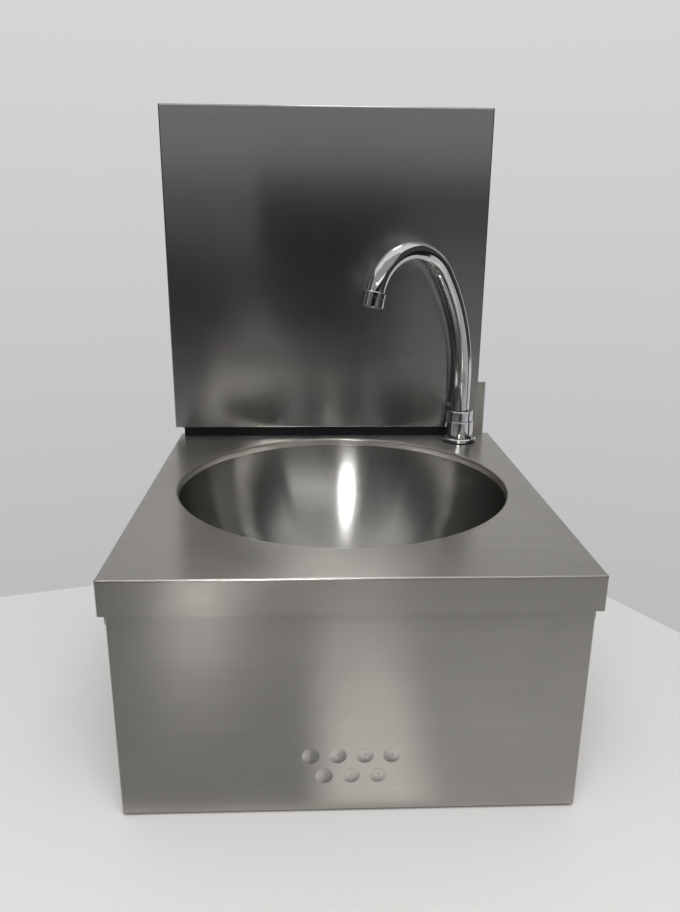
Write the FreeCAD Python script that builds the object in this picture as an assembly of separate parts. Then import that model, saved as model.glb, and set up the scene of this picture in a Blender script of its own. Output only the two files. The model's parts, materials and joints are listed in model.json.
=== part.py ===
import FreeCAD
import Part
import math
import os
from FreeCAD import Vector

# A wall-hung stainless steel hand wash basin with a knee-operated timed valve, in millimetres.
# The origin is the centre of the four wall bolts, on the wall plane. +Z is up and the front faces -Y.

# Body
sheet = 1.2
bendRadius = 2.0
deckWidth = 400.0
deckDepth = 428.0
deckAboveBolts = 125.0
bodyHeight = 227.0
fasciaHeight = 31.0
fasciaLip = 5.0
upstandHeight = 68.0
upstandInset = 8.0
upstandOffWall = 2.6
housingInset = 6.0
flangeWidth = 12.0
footWidth = 20.0
boltSpacingX = 300.0
boltSpacingZ = 100.0
boltHoleRadius = 4.5

# Bowl
bowlRadius = 170.0
bowlBehindFront = 228.5
bowlDepth = 152.0
bowlWall = 1.0
rimRadius = 2.5
collarDepth = 8.0
landRadius = 40.0
landStep = 2.5
wasteHoleRadius = 22.5

# Waste fitting
wasteFlangeRadius = 35.0
wasteFlangeThickness = 2.0
topGasketThickness = 1.0
lowerGasketThickness = 3.0
gasketHoleRadius = 25.5
wasteHeadRadius = 33.0
wasteHeadHeight = 4.0
wasteConeHeight = 10.0
wasteTailRadius = 20.95
wasteTailLength = 42.0
wasteWall = 2.8
strainerHoles = 8
strainerHoleRadius = 3.5
strainerRingRadius = 14.0
wasteScrewRadius = 2.5
wasteScrewHeadRadius = 5.0
wasteScrewFaceRadius = 3.5
wasteScrewHeadHeight = 2.4
wasteHubRadius = 6.0
wasteSpokes = 3
wasteSpokeWidth = 3.0

# Splashback
splashNarrower = 15.0
splashSideShift = -12.5
splashGap = 11.0
splashHeight = 379.0
splashDepth = 16.0
splashSheet = 1.0
hookEndMargin = 27.5
hookSheet = 1.2
hookLegHeight = 24.0
hookLipDrop = 20.0
notchAboveUpstand = 4.8
sealSetBack = 1.8
sealSideMargin = 4.0

# Knee panel and its hinge
panelInset = 4.0
panelSetBack = 8.0
panelTopHidden = 4.0
panelGroundGap = 2.5
panelReturn = 26.0
panelTopReturn = 12.0
panelBottomReturn = 18.0
cornerSlotMargin = 3.0
kneeAngle = 4.5
pivotBelowDeck = 42.0
pivotBehindPanel = 12.0
pivotRadius = 4.0
pivotHeadRadius = 6.5
pivotHeadThickness = 2.0
pivotThreadRadius = 3.0
pivotNutFlats = 10.0
pivotNutThickness = 5.0
bushRadius = 6.0
bushFlangeRadius = 8.5
bushFlangeThickness = 0.6
bufferThickness = 2.5
bufferWidth = 9.0
bufferHeight = 12.0
restBufferHeight = 7.0
bufferInset = 1.0
dimpleRadius = 7.5
dimpleDepth = 1.6
dimplePitch = 23.0
dimpleRowPitch = 20.0
dimpleBelowDeck = 169.0
upperDimples = 4

# Push pad on the panel
hatEndMargin = 46.0
hatDepth = 5.2
hatCrown = 32.0
hatFoot = 10.0
padNutFlats = 13.0
padNutThickness = 4.0
padInnerNutThickness = 2.6
padFreeThread = 2.0
padHeadThickness = 5.3
padBoltRadius = 4.0

# Timed valve
valveBelowDeck = 135.0
buttonRadius = 13.0
buttonLength = 8.0
buttonDomeRadius = 40.0
plungerRadius = 5.0
plungerEngagement = 14.0
plungerFreeBore = 1.0
neckRadius = 12.0
neckFreeThread = 2.0
neckNutFlats = 32.0
neckNutThickness = 6.0
railHeight = 50.0
railFlange = 15.0
valveRadius = 18.0
valveLength = 50.0
portsBehindRail = 30.0
valveCapFlats = 30.0
valveCapThickness = 8.0
portRadius = 10.48
portReach = 42.0
portCollarRadius = 13.0
portCollarLength = 5.0
waterwayRadius = 6.0
elbowRadius = 12.5
elbowReach = 16.0
elbowDrop = 48.0
elbowNutFlats = 27.0

# Tap
tapFromSide = 46.0
tapFromWall = 39.0
tapFlangeRadius = 21.0
tapFlangeHeight = 4.5
tapChamfer = 1.2
tapGasketThickness = 1.5
tapGasketRadius = 20.5
tapBodyRadius = 17.0
tapBodyTop = 27.0
tapNeckRadius = 14.0
tapNeckTop = 33.0
shankEngagement = 8.0
shankBelowDeck = 48.0
tapHoleRadius = 11.0
tapWasherThickness = 2.0
tapWasherRadius = 18.0
backnutFlats = 30.0
backnutThickness = 6.0
spigotRadius = 9.0
spigotBottom = 13.0
spoutCollarRadius = 13.0
spoutCollarThickness = 2.0
glandRadius = 16.0
glandTop = 40.0
glandChamfer = 1.0
sealWidth = 2.0
sealDepth = 1.8
sealHeights = (17.5, 25.5)

# Spout: a straight stem, a gentle lean, a tight crook and a short straight end
spoutRadius = 11.0
spoutWall = 1.2
spoutTurn = 55.7
stemTop = 79.5
leanRadius = 226.0
leanAngle = 35.0
crookRadius = 56.0
crookAngle = 166.0
spoutEnd = 8.0
aeratorRadius = 13.0
aeratorBeyond = 9.0
aeratorLip = 2.0
aeratorChamfer = 1.0
aeratorGrooveDepth = 0.5
aeratorGrooveLow = -1.5
aeratorGrooveHigh = 1.0
aeratorInsetFace = 0.5
aeratorRingRadius = 5.7
aeratorOutletRadius = 9.5
aeratorHoleRadius = 1.7
aeratorHoles = 6

# Supply hose
hoseRadius = 6.25
hoseNutFlats = 24.0
hoseNutLength = 14.0
hoseNutGrip = 10.0
hoseNutBack = 2.0
hoseNutHoleRadius = 7.25
ferruleRadius = 8.0
ferruleLength = 24.0
ferruleNeckRadius = 6.85
ferruleFlangeRadius = 9.48
ferruleFlangeThickness = 1.5
ferruleBoreRadius = 4.0
hoseStart = 6.0
hoseTurnInset = 4.0
hoseSag = 35.0
hoseFrontBend = 62.0
hoseRearBend = 64.0

# Clearances
runningFit = 0.06
threadFit = 0.05
holeFit = 0.4
restGap = 0.3
swingGap = 0.3

# Places worked out from the sizes above
front = -deckDepth
deckTop = deckAboveBolts
base = deckTop - bodyHeight
deckUnder = deckTop - sheet
halfDeck = deckWidth / 2
halfUpstand = halfDeck - upstandInset
halfHousing = halfDeck - housingInset
housingInside = halfHousing - sheet
upstandBack = -upstandOffWall
upstandFront = upstandBack - sheet
upstandTop = deckTop + upstandHeight
bowlY = front + bowlBehindFront
bowlRimZ = deckTop - collarDepth
landZ = deckTop - bowlDepth
landUnder = landZ - bowlWall
splashBottom = deckTop + splashGap
splashTop = splashBottom + splashHeight
splashWidth = deckWidth - splashNarrower
splashLeft = splashSideShift - splashWidth / 2
splashRight = splashSideShift + splashWidth / 2
hookLength = splashWidth - 2 * hookEndMargin
panelFront = front + panelSetBack
panelInner = panelFront + sheet
panelTop = deckTop - fasciaHeight + panelTopHidden
panelBottom = base + panelGroundGap
halfPanel = halfDeck - panelInset
earInside = halfPanel - sheet
pivotY = panelFront + pivotBehindPanel
pivotZ = deckTop - pivotBelowDeck
bufferFront = panelInner + swingGap
flangeFront = bufferFront + bufferThickness
valveZ = deckTop - valveBelowDeck
hatOuter = panelInner + hatDepth
hatLength = 2 * (halfPanel - hatEndMargin)
padHeadFront = hatOuter + padNutThickness + padFreeThread
padFace = padHeadFront + padHeadThickness
buttonFace = padFace + restGap
buttonBack = buttonFace + buttonLength
kneeLever = valveBelowDeck - pivotBelowDeck
plungerStroke = kneeLever * math.radians(kneeAngle)
neckFront = buttonBack + plungerStroke + restGap
railFront = neckFront + neckFreeThread + neckNutThickness
railBack = railFront + sheet
valveBack = railBack + valveLength
portY = railBack + portsBehindRail
tapX = halfDeck - tapFromSide
tapY = -tapFromWall
tapBottom = deckTop + tapGasketThickness
hoseFrontEnd = portReach
hoseTurnX = tapX - hoseTurnInset
hoseRearEnd = deckTop - shankBelowDeck


def block(x0, x1, y0, y1, z0, z1):
    return Part.makeBox(x1 - x0, y1 - y0, z1 - z0, Vector(x0, y0, z0))


def rod(radius, start, end):
    axis = end.sub(start)
    return Part.makeCylinder(radius, axis.Length, start, axis)


def tube(outer, inner, start, end):
    return rod(outer, start, end).cut(rod(inner, start, end))


def upright(radius, x, y, low, high):
    return rod(radius, Vector(x, y, low), Vector(x, y, high))


def onValve(radius, start, end):
    return rod(radius, Vector(0, start, valveZ), Vector(0, end, valveZ))


def onPivot(radius, start, end):
    return rod(radius, Vector(start, pivotY, pivotZ), Vector(end, pivotY, pivotZ))


def hexBar(flats, start, end):
    axis = end.sub(start)
    corner = flats / math.sqrt(3)
    points = []
    for k in range(7):
        turn = math.radians(60 * k)
        points.append(Vector(corner * math.cos(turn), corner * math.sin(turn), 0))
    return placed(Part.Face(Part.makePolygon(points)).extrude(Vector(0, 0, axis.Length)), start, axis)


def hexNut(flats, hole, start, end):
    return hexBar(flats, start, end).cut(rod(hole, start, end))


def placed(shape, origin, direction):
    turn = FreeCAD.Rotation(Vector(0, 0, 1), direction)
    shape.Placement = FreeCAD.Placement(origin, turn).multiply(shape.Placement)
    return shape


def turned(points, x=0.0, y=0.0):
    """A closed ring with the outline points (radius, height) about the vertical line at x, y."""
    outline = [Vector(x + radius, y, height) for radius, height in points]
    outline.append(outline[0])
    face = Part.Face(Part.makePolygon(outline))
    return face.revolve(Vector(x, y, 0), Vector(0, 0, 1), 360)


def bothSides(shape):
    return Part.makeCompound([shape, shape.mirror(Vector(0, 0, 0), Vector(1, 0, 0))])


def bothJoined(shape, body):
    return body.fuse([shape, shape.mirror(Vector(0, 0, 0), Vector(1, 0, 0))])


def pressedIn(shape):
    """The shape turned about the hinge of the knee panel, as far as the panel goes."""
    turnedShape = shape.copy()
    turnedShape.rotate(Vector(0, pivotY, pivotZ), Vector(1, 0, 0), kneeAngle)
    return turnedShape


def edgesNear(shape, test):
    return [edge for edge in shape.Edges if test(edge.BoundBox)]


def makeDeck():
    rear = upstandBack
    tray = block(-halfDeck, halfDeck, front, rear, deckTop - fasciaHeight, deckTop)

    def folded(bound):
        alongTop = bound.ZMin > deckTop - 0.01 and bound.YMin < rear - 0.01
        corner = bound.ZLength > fasciaHeight - 0.01 and bound.YMax < front + 0.01
        return alongTop or corner

    tray = tray.makeFillet(bendRadius, edgesNear(tray, folded))
    inside = halfDeck - sheet
    tray = tray.cut(block(-inside, inside, front + fasciaLip, rear + 1, base, deckUnder))
    lipTop = deckTop - fasciaHeight + sheet
    tray = tray.cut(block(-inside, inside, front + sheet, front + fasciaLip + 1, lipTop, deckUnder))
    upstand = block(-halfUpstand, halfUpstand, upstandFront, upstandBack, deckUnder, upstandTop)
    tray = tray.fuse(upstand)
    tray = tray.cut(upright(bowlRadius + rimRadius, 0, bowlY, base, upstandTop))
    tray = tray.cut(upright(tapHoleRadius, tapX, tapY, base, deckTop + 1))
    return tray.fuse(makeCollar()).removeSplitter()


def makeCollar():
    """The turned-down edge of the bowl's hole in the deck."""
    outer = bowlRadius + rimRadius
    centreZ = deckTop - rimRadius
    half = math.sqrt(0.5)
    inner = rimRadius - sheet
    middle = Vector(outer - rimRadius * half, 0, centreZ + rimRadius * half)
    innerMiddle = Vector(outer - inner * half, 0, centreZ + inner * half)
    a = Vector(outer, 0, deckTop)
    b = Vector(bowlRadius, 0, centreZ)
    c = Vector(bowlRadius, 0, bowlRimZ)
    d = Vector(bowlRadius + sheet, 0, bowlRimZ)
    e = Vector(bowlRadius + sheet, 0, centreZ)
    f = Vector(outer, 0, deckUnder)
    edges = [
        Part.Arc(a, middle, b).toShape(),
        Part.LineSegment(b, c).toShape(),
        Part.LineSegment(c, d).toShape(),
        Part.LineSegment(d, e).toShape(),
        Part.Arc(e, innerMiddle, f).toShape(),
        Part.LineSegment(f, a).toShape(),
    ]
    ring = Part.Face(Part.Wire(edges)).revolve(Vector(0, 0, 0), Vector(0, 0, 1), 360)
    return ring.translated(Vector(0, bowlY, 0))


def makeBowl():
    """A spun dish: one round arc from the collar down to a stepped land for the waste fitting."""
    stepZ = landZ + landStep
    rise = bowlRimZ - stepZ
    centreZ = (bowlRadius ** 2 - landRadius ** 2 + bowlRimZ ** 2 - stepZ ** 2) / (2 * rise)
    radius = math.hypot(bowlRadius, bowlRimZ - centreZ)
    outerRadius = radius + bowlWall

    def onArc(size, distance):
        return Vector(distance, 0, centreZ - math.sqrt(size ** 2 - distance ** 2))

    outerRim = math.sqrt(outerRadius ** 2 - (bowlRimZ - centreZ) ** 2)
    half = (bowlRadius + landRadius) / 2
    a = Vector(bowlRadius, 0, bowlRimZ)
    b = Vector(landRadius, 0, stepZ)
    c = Vector(landRadius, 0, landZ)
    d = Vector(wasteHoleRadius, 0, landZ)
    e = Vector(wasteHoleRadius, 0, landUnder)
    f = Vector(landRadius + bowlWall, 0, landUnder)
    g = onArc(outerRadius, landRadius + bowlWall)
    h = Vector(outerRim, 0, bowlRimZ)
    edges = [
        Part.Arc(a, onArc(radius, half), b).toShape(),
        Part.LineSegment(b, c).toShape(),
        Part.LineSegment(c, d).toShape(),
        Part.LineSegment(d, e).toShape(),
        Part.LineSegment(e, f).toShape(),
        Part.LineSegment(f, g).toShape(),
        Part.Arc(g, onArc(outerRadius, half), h).toShape(),
        Part.LineSegment(h, a).toShape(),
    ]
    dish = Part.Face(Part.Wire(edges)).revolve(Vector(0, 0, 0), Vector(0, 0, 1), 360)
    return dish.translated(Vector(0, bowlY, 0))


def makeWasteGaskets():
    top = landZ + topGasketThickness
    under = landUnder - lowerGasketThickness
    upper = tube(wasteHeadRadius, gasketHoleRadius, Vector(0, bowlY, landZ), Vector(0, bowlY, top))
    lower = tube(wasteHeadRadius, gasketHoleRadius, Vector(0, bowlY, under), Vector(0, bowlY, landUnder))
    return Part.makeCompound([upper, lower])


def makeWasteFlange():
    """The strainer: a flat disc with a bevelled edge and a ring of round holes."""
    under = landZ + topGasketThickness
    top = under + wasteFlangeThickness
    bevel = wasteFlangeThickness / 2
    disc = turned([
        (0, under),
        (wasteFlangeRadius, under),
        (wasteFlangeRadius, top - bevel),
        (wasteFlangeRadius - bevel, top),
        (0, top),
    ], 0, bowlY)
    for k in range(strainerHoles):
        turn = 2 * math.pi * k / strainerHoles
        x = strainerRingRadius * math.cos(turn)
        y = bowlY + strainerRingRadius * math.sin(turn)
        disc = disc.cut(upright(strainerHoleRadius, x, y, under - 1, top + 1))
    return disc.cut(upright(wasteScrewRadius + threadFit, 0, bowlY, under - 1, top + 1))


def makeWasteBody():
    """The tailpiece: a dished head, a cone and a threaded tail, with a spoked hub for the screw."""
    top = landUnder - lowerGasketThickness
    headFoot = top - wasteHeadHeight
    coneFoot = headFoot - wasteConeHeight
    end = coneFoot - wasteTailLength
    bore = wasteTailRadius - wasteWall
    mouth = wasteHeadRadius - 2 * wasteWall
    body = turned([
        (mouth, top),
        (wasteHeadRadius, top),
        (wasteHeadRadius, headFoot),
        (wasteTailRadius, coneFoot),
        (wasteTailRadius, end),
        (bore, end),
        (bore, coneFoot),
        (mouth, headFoot),
    ], 0, bowlY)
    for k in range(wasteSpokes):
        spoke = block(0, mouth + 1, -wasteSpokeWidth / 2, wasteSpokeWidth / 2, headFoot, top)
        spoke.rotate(Vector(0, 0, 0), Vector(0, 0, 1), 360 * k / wasteSpokes)
        body = body.fuse(spoke.translated(Vector(0, bowlY, 0)))
    body = body.fuse(upright(wasteHubRadius, 0, bowlY, headFoot, top))
    body = body.cut(upright(wasteScrewRadius + threadFit, 0, bowlY, headFoot - 1, top + 1))
    return body.removeSplitter()


def makeWasteScrew():
    flangeTop = landZ + topGasketThickness + wasteFlangeThickness
    end = landUnder - lowerGasketThickness - wasteHeadHeight
    head = turned([
        (0, flangeTop),
        (wasteScrewHeadRadius, flangeTop),
        (wasteScrewFaceRadius, flangeTop + wasteScrewHeadHeight),
        (0, flangeTop + wasteScrewHeadHeight),
    ], 0, bowlY)
    return head.fuse(upright(wasteScrewRadius, 0, bowlY, end, flangeTop)).removeSplitter()


def makeHousing():
    """Side and rear walls in one sheet, open below, with feet, welding flanges and a sloped front edge."""
    shell = block(-halfHousing, halfHousing, front, 0, base, deckUnder)

    def rearCorner(bound):
        return bound.ZLength > bodyHeight / 2 and bound.YMin > -0.01

    shell = shell.makeFillet(bendRadius, edgesNear(shell, rearCorner))
    inner = block(-housingInside, housingInside, front - 1, -sheet, base + sheet, deckUnder - sheet)
    well = halfHousing - footWidth
    throat = halfHousing - flangeWidth
    shell = shell.cut(inner)
    shell = shell.cut(block(-well, well, front - 1, -footWidth, base - 1, base + sheet + 1))
    shell = shell.cut(block(-throat, throat, front - 1, -flangeWidth, deckUnder - sheet - 1, deckUnder + 1))
    opening = block(-deckWidth, deckWidth, 2 * front, flangeFront, base - bodyHeight, deckTop + bodyHeight)
    shell = shell.cut(opening).cut(pressedIn(opening))
    joint = housingInside + sheet / 2
    upper = block(throat, joint, flangeFront, flangeFront + sheet, pivotZ, deckUnder)
    lower = block(throat, joint, flangeFront, flangeFront + sheet, base - footWidth, pivotZ + sheet)
    lower = pressedIn(lower).common(block(0, deckWidth, front, 0, base, pivotZ))
    shell = bothJoined(upper, shell)
    shell = bothJoined(lower, shell)
    for x in (-boltSpacingX / 2, boltSpacingX / 2):
        for z in (-boltSpacingZ / 2, boltSpacingZ / 2):
            shell = shell.cut(rod(boltHoleRadius, Vector(x, -sheet - 1, z), Vector(x, 1, z)))
    return shell.cut(onPivot(pivotThreadRadius + threadFit, -halfDeck, halfDeck)).removeSplitter()


def makeRail():
    """The folded channel across the housing that carries the valve."""
    low = valveZ - railHeight / 2
    high = valveZ + railHeight / 2
    solid = block(-housingInside, housingInside, railFront, railFront + railFlange, low, high)
    hollow = block(-halfDeck, halfDeck, railBack, railFront + railFlange + 1, low + sheet, high - sheet)
    return solid.cut(hollow).cut(onValve(neckRadius + threadFit, railFront - 1, railBack + 1))


def makeSplashback():
    """A folded tray, open towards the wall and notched below, where it passes the deck's upstand."""
    tray = block(splashLeft, splashRight, -splashDepth, 0, splashBottom, splashTop)

    def frontEdge(bound):
        return bound.YMax < -splashDepth + 0.01

    tray = tray.makeFillet(bendRadius, edgesNear(tray, frontEdge))
    tray = tray.cut(block(
        splashLeft + splashSheet, splashRight - splashSheet,
        splashSheet - splashDepth, 1,
        splashBottom + splashSheet, splashTop - splashSheet))
    notchTop = upstandTop + notchAboveUpstand
    return tray.cut(block(
        splashLeft - 1, splashRight + 1, upstandFront - holeFit, 1, splashBottom - 1, notchTop))


def makeHook():
    """The rail inside the splashback that hangs over the top edge of the upstand."""
    start = splashSideShift - hookLength / 2
    inner = splashSheet - splashDepth
    lipBack = upstandBack + restGap + hookSheet
    end = start + hookLength
    leg = block(start, end, inner, inner + hookSheet, upstandTop, upstandTop + hookLegHeight)
    web = block(start, end, inner, lipBack, upstandTop, upstandTop + hookSheet)
    lip = block(start, end, lipBack - hookSheet, lipBack, upstandTop - hookLipDrop, upstandTop)
    return leg.fuse([web, lip]).removeSplitter()


def makeSeal():
    left = max(splashLeft, bendRadius - halfDeck) + sealSideMargin
    right = splashRight - sealSideMargin
    return block(left, right, sealSetBack - splashDepth, upstandFront, deckTop, splashBottom)


def dimpleCentres():
    """Two staggered rows of plain pressed dimples."""
    centres = []
    for row, count in enumerate((upperDimples, upperDimples - 1)):
        for k in range(count):
            x = dimplePitch * (k - (count - 1) / 2)
            centres.append(Vector(x, panelFront, deckTop - dimpleBelowDeck - row * dimpleRowPitch))
    return centres


def makeKneePanel():
    depth = panelFront + panelReturn
    panel = block(-halfPanel, halfPanel, panelFront, depth, panelBottom, panelTop)

    def frontEdge(bound):
        return bound.YMax < panelFront + 0.01

    panel = panel.makeFillet(bendRadius, edgesNear(panel, frontEdge))
    lowFlange = panelBottom + sheet
    highFlange = panelTop - sheet
    lowEnd = panelFront + panelBottomReturn
    highEnd = panelFront + panelTopReturn
    panel = panel.cut(block(-earInside, earInside, panelInner, depth + 1, lowFlange, highFlange))
    panel = panel.cut(block(-earInside, earInside, lowEnd, depth + 1, panelBottom - 1, lowFlange + 1))
    panel = panel.cut(block(-earInside, earInside, highEnd, depth + 1, highFlange - 1, panelTop + 1))
    slotInside = halfHousing - flangeWidth - cornerSlotMargin
    for z in (panelBottom, highFlange):
        corner = block(slotInside, earInside, panelInner, depth, z - 1, z + sheet + 1)
        panel = panel.cut(corner).cut(corner.mirror(Vector(0, 0, 0), Vector(1, 0, 0)))
    bulge = (dimpleRadius ** 2 + dimpleDepth ** 2) / (2 * dimpleDepth)
    half = dimplePitch / 2
    behind = block(-half, half, sheet / 2, dimpleDepth + 2 * sheet, -half, half)
    for centre in dimpleCentres():
        middle = centre + Vector(0, dimpleDepth - bulge, 0)
        cap = Part.makeSphere(bulge + sheet, middle, Vector(0, 1, 0)).common(behind.translated(centre))
        panel = panel.fuse(cap).cut(Part.makeSphere(bulge, middle, Vector(0, 1, 0)))
    return panel.cut(onPivot(bushRadius, -halfDeck, halfDeck)).removeSplitter()


def makeStiffener():
    """A hat section across the inside of the knee panel, behind the push pad."""
    crownTop = valveZ + hatCrown / 2
    crownLow = valveZ - hatCrown / 2
    outline = [
        (panelInner, crownTop + hatFoot),
        (panelInner + sheet, crownTop + hatFoot),
        (panelInner + sheet, crownTop),
        (hatOuter, crownTop - hatDepth / 2),
        (hatOuter, crownLow + hatDepth / 2),
        (panelInner + sheet, crownLow),
        (panelInner + sheet, crownLow - hatFoot),
        (panelInner, crownLow - hatFoot),
        (panelInner, crownLow + sheet / 2),
        (hatOuter - sheet, crownLow + hatDepth / 2 + sheet / 2),
        (hatOuter - sheet, crownTop - hatDepth / 2 - sheet / 2),
        (panelInner, crownTop - sheet / 2),
    ]
    points = [Vector(-hatLength / 2, y, z) for y, z in outline]
    points.append(points[0])
    hat = Part.Face(Part.makePolygon(points)).extrude(Vector(hatLength, 0, 0))
    return hat.cut(onValve(padBoltRadius + threadFit, panelInner, padFace))


def makePadBolt():
    shankEnd = hatOuter - sheet - padInnerNutThickness
    head = hexBar(padNutFlats, Vector(0, padHeadFront, valveZ), Vector(0, padFace, valveZ))
    return head.fuse(onValve(padBoltRadius, shankEnd, padFace)).removeSplitter()


def makePadNuts():
    innerFace = hatOuter - sheet
    spans = ((hatOuter, hatOuter + padNutThickness), (innerFace - padInnerNutThickness, innerFace))
    nuts = []
    for start, end in spans:
        place = (Vector(0, start, valveZ), Vector(0, end, valveZ))
        nuts.append(hexNut(padNutFlats, padBoltRadius + threadFit, *place))
    return Part.makeCompound(nuts)


def makePivotBolts():
    headInner = halfPanel + restGap / 2
    headOuter = headInner + pivotHeadThickness
    nutInner = housingInside - pivotNutThickness
    bolt = onPivot(pivotHeadRadius, headInner, headOuter)
    bolt = bolt.fuse(onPivot(pivotRadius, halfHousing, headInner))
    bolt = bolt.fuse(onPivot(pivotThreadRadius, nutInner, halfHousing))
    return bothSides(bolt.removeSplitter())


def makePivotNuts():
    start = Vector(housingInside - pivotNutThickness, pivotY, pivotZ)
    end = Vector(housingInside, pivotY, pivotZ)
    return bothSides(hexNut(pivotNutFlats, pivotThreadRadius + threadFit, start, end))


def makeBushes():
    bore = pivotRadius + runningFit
    flangeEnd = earInside - bushFlangeThickness
    flange = tube(
        bushFlangeRadius, bore, Vector(flangeEnd, pivotY, pivotZ), Vector(earInside, pivotY, pivotZ))
    sleeve = tube(bushRadius, bore, Vector(earInside, pivotY, pivotZ), Vector(halfPanel, pivotY, pivotZ))
    return bothSides(flange.fuse(sleeve).removeSplitter())


def makeBuffers():
    """Rubber pads on the housing's front flanges: the pair above the hinge holds the panel at rest,
    and the pair near the feet stops it when it is pressed."""
    left = halfHousing - flangeWidth + bufferInset
    top = deckUnder - fasciaHeight
    rest = block(left, left + bufferWidth, bufferFront, flangeFront, top - restBufferHeight, top)
    low = base + footWidth
    end = pressedIn(block(left, left + bufferWidth, bufferFront, flangeFront, low, low + bufferHeight))
    return Part.makeCompound([bothSides(rest), bothSides(end)])


def makeValveBody():
    """The brass body with its threaded neck, two ports and the plunger's bore."""
    body = onValve(valveRadius, railBack, valveBack)
    body = body.fuse(onValve(neckRadius, neckFront, railBack))
    for side in (-1, 1):
        collarEnd = side * (valveRadius + portCollarLength)
        body = body.fuse(rod(portCollarRadius, Vector(0, portY, valveZ), Vector(collarEnd, portY, valveZ)))
        body = body.fuse(rod(portRadius, Vector(0, portY, valveZ), Vector(side * portReach, portY, valveZ)))
        waterEnd = Vector(side * (portReach + 1), portY, valveZ)
        body = body.cut(rod(waterwayRadius, Vector(side * valveRadius / 2, portY, valveZ), waterEnd))
    boreEnd = neckFront + plungerEngagement + plungerStroke + plungerFreeBore
    return body.cut(onValve(plungerRadius + runningFit, neckFront - 1, boreEnd)).removeSplitter()


def makePlunger():
    """The push button and its rod. The button's face is domed, so that the pad rolls on it."""
    domeCentre = Vector(0, buttonFace + buttonDomeRadius, valveZ)
    dome = Part.makeSphere(buttonDomeRadius, domeCentre, Vector(0, 1, 0))
    button = onValve(buttonRadius, buttonFace, buttonBack).common(dome)
    return button.fuse(onValve(plungerRadius, buttonBack, neckFront + plungerEngagement)).removeSplitter()


def makeNeckNut():
    start = Vector(0, railFront - neckNutThickness, valveZ)
    return hexNut(neckNutFlats, neckRadius + threadFit, start, Vector(0, railFront, valveZ))


def makeValveCap():
    start = Vector(0, valveBack, valveZ)
    end = Vector(0, valveBack + valveCapThickness, valveZ)
    return hexBar(valveCapFlats, start, end)


def makeElbow():
    """The supply elbow: a nut on the valve's left port, a round corner and a threaded leg down."""
    cornerX = -portReach - elbowReach
    corner = Vector(cornerX, portY, valveZ)
    foot = corner - Vector(0, 0, elbowDrop)
    nutEnd = Vector(-portReach, portY, valveZ)
    nut = hexNut(elbowNutFlats, portRadius + threadFit, nutEnd + Vector(hoseNutGrip, 0, 0), nutEnd)
    body = rod(elbowRadius, nutEnd, corner)
    body = body.fuse(Part.makeSphere(elbowRadius, corner))
    body = body.fuse(rod(elbowRadius, corner, corner - Vector(0, 0, elbowDrop / 2)))
    body = body.fuse(rod(portRadius, corner, foot))
    body = body.fuse(nut)
    body = body.cut(rod(waterwayRadius, nutEnd + Vector(1, 0, 0), corner))
    return body.cut(rod(waterwayRadius, corner, foot - Vector(0, 0, 1))).removeSplitter()


def hoseNut():
    """A union nut on a port whose end is at the local origin, with the hose leaving along +Z."""
    start = Vector(0, 0, -hoseNutGrip)
    end = Vector(0, 0, hoseNutLength - hoseNutGrip)
    nut = hexNut(hoseNutFlats, hoseNutHoleRadius, start, end)
    return nut.cut(rod(portRadius + threadFit, start, end - Vector(0, 0, hoseNutBack)))


def hoseFerrule():
    """The crimped end of the hose: a flange inside the nut, a neck and a sleeve round the hose."""
    back = hoseNutLength - hoseNutGrip - hoseNutBack
    face = back - ferruleFlangeThickness
    return turned([
        (ferruleBoreRadius, face),
        (ferruleFlangeRadius, face),
        (ferruleFlangeRadius, back),
        (ferruleNeckRadius, back),
        (ferruleNeckRadius, back + hoseNutBack),
        (ferruleRadius, back + hoseNutBack),
        (ferruleRadius, ferruleLength),
        (hoseRadius + threadFit, ferruleLength),
        (hoseRadius + threadFit, hoseStart),
        (ferruleBoreRadius, hoseStart),
    ])


def hoseEnds():
    """The two ports that the hose joins, each as its end and the direction in which the hose leaves."""
    valvePort = (Vector(hoseFrontEnd, portY, valveZ), Vector(1, 0, 0))
    tapPort = (Vector(tapX, tapY, hoseRearEnd), Vector(0, 0, -1))
    return (valvePort, tapPort)


def makeHoseNuts():
    return Part.makeCompound([placed(hoseNut(), end, way) for end, way in hoseEnds()])


def makeFerrules():
    return Part.makeCompound([placed(hoseFerrule(), end, way) for end, way in hoseEnds()])


def arcBetween(before, corner, after, radius):
    """The arc of the radius that rounds a corner, as its start, middle and end."""
    into = before.sub(corner).normalize()
    out = after.sub(corner).normalize()
    half = into.getAngle(out) / 2
    reach = radius / math.tan(half)
    centreWay = into.add(out).normalize()
    centre = corner + centreWay * (radius / math.sin(half))
    return corner + into * reach, centre - centreWay * radius, corner + out * reach


def makeHose():
    """The braided hose, held at both ends, from the valve's right port round to the tap's shank."""
    start = Vector(hoseFrontEnd + hoseStart, portY, valveZ)
    frontCorner = Vector(hoseTurnX, portY, valveZ)
    rearCorner = Vector(tapX, tapY, valveZ - hoseSag)
    end = Vector(tapX, tapY, hoseRearEnd - hoseStart)
    a, aMiddle, b = arcBetween(start, frontCorner, rearCorner, hoseFrontBend)
    c, cMiddle, d = arcBetween(frontCorner, rearCorner, end, hoseRearBend)
    edges = [
        Part.LineSegment(start, a).toShape(),
        Part.Arc(a, aMiddle, b).toShape(),
        Part.LineSegment(b, c).toShape(),
        Part.Arc(c, cMiddle, d).toShape(),
        Part.LineSegment(d, end).toShape(),
    ]
    path = Part.Wire(edges)
    hose = swept(path, hoseRadius, start, Vector(1, 0, 0))
    expected = math.pi * hoseRadius ** 2 * path.Length
    print("hose: length %.0f, bends %.0f and %.0f, volume %.4f of section times length"
          % (path.Length, hoseFrontBend, hoseRearBend, hose.Volume / expected))
    return hose


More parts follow.
